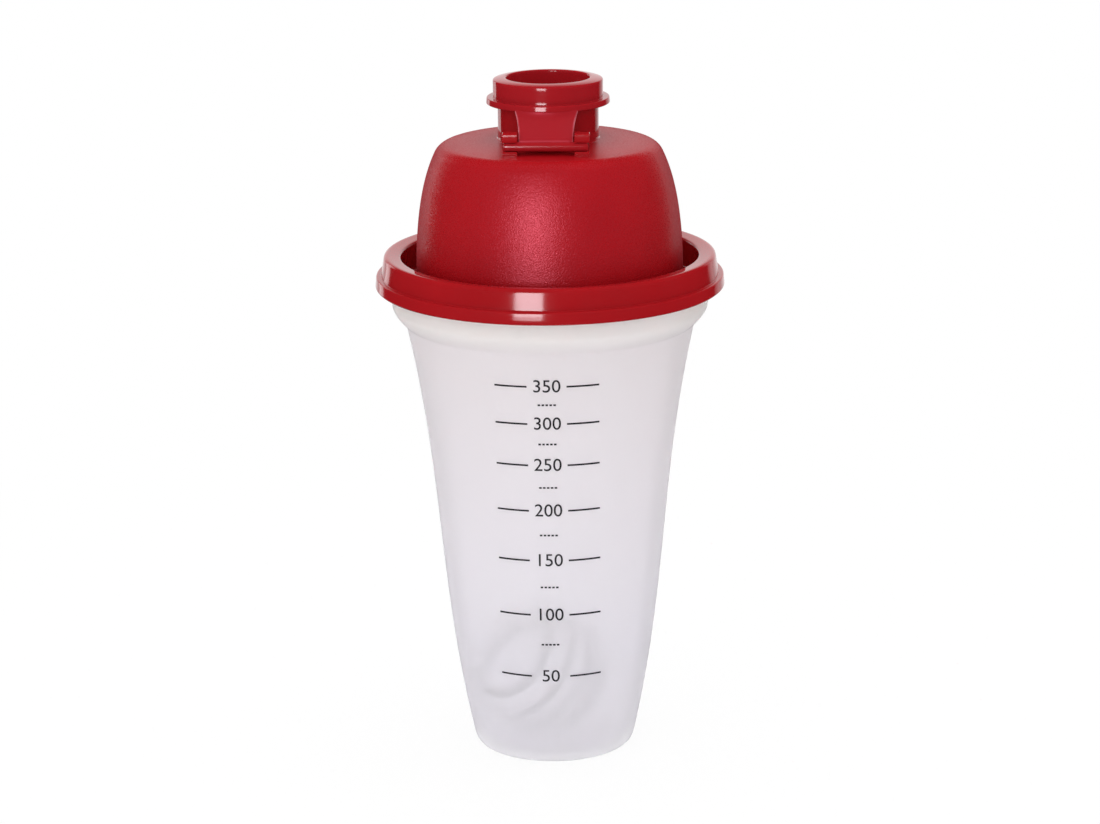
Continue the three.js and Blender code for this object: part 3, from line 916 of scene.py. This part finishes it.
def strap_shell(cap):
    """A rounded section carried from the flange down to the axle.

    Over the share s of the way its half width narrows by (1 - s)^3, and the curve of the flange's rim,
    R - sqrt(R^2 - x^2), fades by (1 - s)^2 into a flat fold.
    """
    bow = cap.flange_radius - STRAP_TUCK
    side = strap_side(cap)
    along = np.gradient(side, axis=0)
    along /= np.linalg.norm(along, axis=1)[:, None]
    normal = np.stack([along[:, 1], -along[:, 0]], 1)
    share = np.linspace(0, 1, len(side))
    half = STRAP_HALF + STRAP_FLARE * (1 - share) ** 3
    section = strap_section(cap.strap_thickness)
    across = section[None, :, 0] + np.sign(section[None, :, 0]) * (half - STRAP_HALF)[:, None]
    grid = np.empty((len(side), len(section), 3))
    grid[:, :, 0] = across
    grid[:, :, 1:] = side[:, None] + section[None, :, 1, None] * normal[:, None]
    grid[:, :, 1] += (bow - np.sqrt(bow**2 - across**2)) * (1 - share[:, None]) ** 2
    return carried(grid)


def axle_shell(cap):
    """A round bar along X through the pivot, with rounded ends."""
    line = outline([
        (0, -AXLE_HALF, 0),
        (cap.axle_radius, -AXLE_HALF, 0.35 * MM),
        (cap.axle_radius, AXLE_HALF, 0.35 * MM),
        (0, AXLE_HALF, 0),
    ])
    points, faces = revolve(line, AXLE_TURNS)
    return points[:, [2, 0, 1]] + (0, PIVOT[1], PIVOT[2]), faces


class SHAKER_OT_flip_cap(bpy.types.Operator):
    """Turn the flip cap and add its strap and axle"""

    bl_idname = "shaker.flip_cap"
    bl_label = "Flip cap"

    def execute(self, context):
        cap = context.scene.shaker_cap
        red = red_polished("red_gloss", cap.red, CAP_ROUGHNESS)
        made = piece("flip_cap_body", [revolve(cap_profile(cap))], red, "flip_cap")
        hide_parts("flip_cap")
        satin = red_satin("red_satin", cap.red, cap.worn)
        strap = piece("flip_cap_strap", [strap_shell(cap)], satin, "flip_cap")
        edge = strap.data.attributes.new("edge", "FLOAT", "POINT")
        edge.data.foreach_set("value", edge_share(cap))
        piece("flip_cap_axle", [axle_shell(cap)], red, "flip_cap")
        return {"FINISHED"}


RIB_NORMAL = Vector((-0.6, -0.5, 0.6)).normalized()  # across the ribs that face the viewer
VIEWED_SIDE = Vector((0, -1, 0))
RIB_STEPS = 48
RIB_ROUND = 0.5 * MM
BELT_TURNS = 96


def sphere_section(ball, offset):
    """A rounded section about a rib's plane: distances along the axis, and radii out to the sphere."""
    box = rounded_box(ball.rib_thickness / 2, ball.rib_depth / 2, RIB_ROUND)
    along = offset + box[:, 0]
    face = abs(offset) + ball.rib_thickness / 2
    inner = math.sqrt(ball.radius**2 - face**2) - ball.rib_depth
    share = box[:, 1] / ball.rib_depth + 0.5
    radial = inner + share * (np.sqrt(ball.radius**2 - along**2) - inner)
    return along, radial


def rib_shell(ball, offset):
    """A half hoop over the ball: the section carried round half a turn about X."""
    along, radial = sphere_section(ball, offset)
    turn = np.linspace(0, math.pi, RIB_STEPS)
    grid = np.empty((RIB_STEPS, len(along), 3))
    grid[:, :, 0] = along
    grid[:, :, 1] = np.cos(turn)[:, None] * radial
    grid[:, :, 2] = np.sin(turn)[:, None] * radial
    return carried(grid)


def belt_shell(ball):
    """A full hoop round the ball's middle."""
    along, radial = sphere_section(ball, 0)
    line = np.stack([radial, -along], 1)
    return revolve(np.concatenate([line, line[:1]]), BELT_TURNS)


def turned(shell, matrix):
    """A shell carried by a 4x4 matrix."""
    points, faces = shell
    m = np.array(matrix)
    return points @ m[:3, :3].T + m[:3, 3], faces


class SHAKER_OT_mixing_ball(bpy.types.Operator):
    """Make the loose ribbed ball where it lies in the cup"""

    bl_idname = "shaker.mixing_ball"
    bl_label = "Mixing ball"

    def execute(self, context):
        ball = context.scene.shaker_ball
        offsets = (np.arange(ball.ribs) - (ball.ribs - 1) / 2) * ball.rib_pitch
        other_half = Matrix.Rotation(math.pi / 2, 4, "Z") @ Matrix.Rotation(math.pi, 4, "X")
        shells = [belt_shell(ball)]
        for offset in offsets:
            rib = rib_shell(ball, offset)
            shells += [rib, turned(rib, other_half)]
        pole = (VIEWED_SIDE - VIEWED_SIDE.dot(RIB_NORMAL) * RIB_NORMAL).normalized()
        place = Matrix((RIB_NORMAL, pole.cross(RIB_NORMAL), pole)).transposed().to_4x4()
        centre = (BALL_LOW + BALL_HIGH) / 2
        place.translation = centre
        shells = [turned(shell, place) for shell in shells]
        white = white_moulded(ball, centre)
        made = piece("mixing_ball_cage", shells, white, "mixing_ball")
        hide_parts("mixing_ball")
        return {"FINISHED"}


SENSOR_WIDTH = 36.0
BACK_WALL = (0.76, 0.94)  # share of +Y in a direction where the white wall starts and is full
FLOOR_RADIUS = 0.42
FLOOR_STEPS = 96
FLOOR_GREY = 0.9
FLOOR_GLOW = 0.9  # share of plain white in the middle of the floor
FLOOR_FADE = 0.8  # share of its radius at which it has turned plain white
FLOOR_BACK = (0.0, 0.1)  # distance behind the axis where reflections start to see it and see it fully
FOOT_SHADE = (0.02, 0.07, 0.75)  # radii between which the floor brightens, and its share inside them
LID_MIDDLE = (0, 0, 0.16)
CUP_MIDDLE = (0, 0, 0.1)
KEY_EDGE = 0.2  # power of the softbox's dim upper edge, as a share of the softbox
RIGHT_SIDE = 0.25  # power of the right reflector, as a share of the left one


def seen_white(tree, path, mirrored, through):
    """1 where the camera looks, two given shares where a reflection or a refraction looks, else 0."""
    glossy = maths(tree, "MULTIPLY", path.outputs["Is Glossy Ray"], mirrored)
    refracted = maths(tree, "MULTIPLY", path.outputs["Is Transmission Ray"], through)
    return maths(tree, "MAXIMUM", path.outputs["Is Camera Ray"], maths(tree, "MAXIMUM", glossy, refracted))


def behind(tree, socket, start, end):
    """0 in front of the bottle and 1 behind it, along +Y."""
    split = tree.nodes.new("ShaderNodeSeparateXYZ")
    tree.links.new(socket, split.inputs[0])
    return ramp(tree, split.outputs["Y"], start, end)


def light_room(stage):
    """A dark room with a white wall behind, and a plain ambient level on matt faces."""
    world = bpy.data.worlds.new("white room")
    bpy.context.scene.world = world
    world.use_nodes = True
    world.cycles.sampling_method = "NONE"
    tree = world.node_tree
    room = tree.nodes["Background"]
    room.inputs["Color"].default_value = (1, 1, 1, 1)
    place = tree.nodes.new("ShaderNodeTexCoord")
    path = tree.nodes.new("ShaderNodeLightPath")
    wall = seen_white(tree, path, behind(tree, place.outputs["Generated"], *BACK_WALL), 1.0)
    soft = maths(tree, "MULTIPLY", path.outputs["Is Diffuse Ray"], stage.ambient)
    tree.links.new(maths(tree, "ADD", wall, soft), room.inputs["Strength"])


def pale_floor():
    """A pale disc that keeps the bottle's shadow and fades into the white room at its edge."""
    angles = 2 * math.pi * np.arange(FLOOR_STEPS) / FLOOR_STEPS
    rim = np.stack([np.cos(angles), np.sin(angles), np.zeros(FLOOR_STEPS)], 1) * FLOOR_RADIUS
    mesh = bpy.data.meshes.new("floor")
    mesh.from_pydata(rim.tolist(), [], [list(range(FLOOR_STEPS))])
    floor = bpy.data.objects.new("floor", mesh)
    bpy.context.scene.collection.objects.link(floor)
    floor.visible_glossy = False
    material = bpy.data.materials.new("pale_floor")
    material.use_nodes = True
    mesh.materials.append(material)
    tree = material.node_tree
    tree.nodes.remove(tree.nodes["Principled BSDF"])
    pale = tree.nodes.new("ShaderNodeBsdfDiffuse")
    pale.inputs["Color"].default_value = (FLOOR_GREY, FLOOR_GREY, FLOOR_GREY, 1)
    glow = tree.nodes.new("ShaderNodeEmission")
    place = tree.nodes.new("ShaderNodeTexCoord")
    far = tree.nodes.new("ShaderNodeVectorMath")
    far.operation = "LENGTH"
    tree.links.new(place.outputs["Object"], far.inputs[0])
    fade = ramp(tree, far.outputs["Value"], 0.0, FLOOR_RADIUS * FLOOR_FADE, FLOOR_GLOW)
    path = tree.nodes.new("ShaderNodeLightPath")
    under = ramp(tree, far.outputs["Value"], *FOOT_SHADE)
    seen = seen_white(tree, path, behind(tree, place.outputs["Object"], *FLOOR_BACK), under)
    amount = maths(tree, "MULTIPLY", seen, fade)
    both = tree.nodes.new("ShaderNodeMixShader")
    tree.links.new(amount, both.inputs["Fac"])
    tree.links.new(pale.outputs["BSDF"], both.inputs[1])
    tree.links.new(glow.outputs["Emission"], both.inputs[2])
    tree.links.new(both.outputs["Shader"], tree.nodes["Material Output"].inputs["Surface"])


def softbox(name, power, size, place, target):
    """A rectangular area light aimed at a point, which the camera doesn't see."""
    light = bpy.data.lights.new(name, "AREA")
    light.shape = "RECTANGLE"
    light.size, light.size_y = size
    light.energy = power
    lamp = bpy.data.objects.new(name, light)
    lamp.visible_camera = False
    lamp.visible_transmission = False
    lamp.location = place
    lamp.rotation_euler = (Vector(target) - Vector(place)).to_track_quat("-Z", "Y").to_euler()
    bpy.context.scene.collection.objects.link(lamp)
    return lamp


def gloss_light(name, power, size, place):
    """A light on the lid that shows only in reflections."""
    softbox(name, power, size, place, LID_MIDDLE).visible_diffuse = False


def matt_light(name, power, size, place):
    """A light on the cup that only matt faces take up."""
    softbox(name, power, size, place, CUP_MIDDLE).visible_glossy = False


class SHAKER_OT_stage(bpy.types.Operator):
    """Set the camera, the floor and plain studio light"""

    bl_idname = "shaker.stage"
    bl_label = "Stage"

    def execute(self, context):
        stage = context.scene.shaker_stage
        context.scene.view_settings.view_transform = "Standard"
        lens = bpy.data.cameras.new("camera")
        lens.lens = stage.lens
        lens.sensor_width = SENSOR_WIDTH
        camera = bpy.data.objects.new("camera", lens)
        turn = Matrix.Rotation(stage.azimuth, 4, "Z")
        aim = Matrix.Rotation(math.pi / 2 - stage.tilt, 4, "X") @ Matrix.Rotation(stage.roll, 4, "Z")
        place = Matrix.Translation((-stage.aside, -stage.distance, stage.height))
        camera.matrix_world = turn @ place @ aim
        context.scene.collection.objects.link(camera)
        context.scene.camera = camera
        light_room(stage)
        pale_floor()
        gloss_light("reflected softbox", stage.key, (0.34, 0.36), (-0.22, -1.03, 0.27))
        gloss_light("softbox edge", stage.key * KEY_EDGE, (0.34, 0.2), (-0.22, -1.03, 0.55))
        gloss_light("left reflector", stage.sides, (0.18, 0.6), (-0.62, 0.79, 0.2))
        gloss_light("right reflector", stage.sides * RIGHT_SIDE, (0.18, 0.6), (0.62, 0.79, 0.2))
        matt_light("front fill", stage.fill, (1.1, 1.1), (-0.5, -1.1, 0.7))
        matt_light("overhead fill", stage.top, (1.2, 1.2), (0.1, 0.1, 1.3))
        return {"FINISHED"}


class VIEW3D_PT_shaker(bpy.types.Panel):
    """The pieces of the shaker and their settings"""

    bl_label = "Batter Shaker"
    bl_idname = "VIEW3D_PT_shaker"
    bl_space_type = "VIEW_3D"
    bl_region_type = "UI"
    bl_category = "Shaker"

    def draw(self, context):
        for operator in OPERATORS:
            self.layout.operator(operator.bl_idname)
        for name in SETTINGS:
            box = self.layout.box()
            group = getattr(context.scene, name)
            for key in group.bl_rna.properties.keys():
                if key not in {"rna_type", "name"}:
                    box.prop(group, key)


SETTINGS = {
    "shaker_cup": CupSettings,
    "shaker_lid": LidSettings,
    "shaker_cap": CapSettings,
    "shaker_ball": BallSettings,
    "shaker_stage": StageSettings,
}
OPERATORS = (
    SHAKER_OT_stage,
    SHAKER_OT_cup,
    SHAKER_OT_scale,
    SHAKER_OT_lid,
    SHAKER_OT_flip_cap,
    SHAKER_OT_mixing_ball,
)
CLASSES = (*SETTINGS.values(), *OPERATORS, VIEW3D_PT_shaker)


def register():
    """Registers every class and hangs the settings on the scene."""
    for cls in CLASSES:
        bpy.utils.register_class(cls)
    for name, group in SETTINGS.items():
        setattr(bpy.types.Scene, name, PointerProperty(type=group))


def unregister():
    """Takes the settings and classes away again."""
    for name in SETTINGS:
        delattr(bpy.types.Scene, name)
    for cls in reversed(CLASSES):
        bpy.utils.unregister_class(cls)


def main():
    """Builds the whole bottle."""
    register()
    bpy.ops.shaker.stage()
    bpy.ops.shaker.cup()
    bpy.ops.shaker.scale()
    bpy.ops.shaker.lid()
    bpy.ops.shaker.flip_cap()
    bpy.ops.shaker.mixing_ball()


if __name__ == "__main__":
    main()
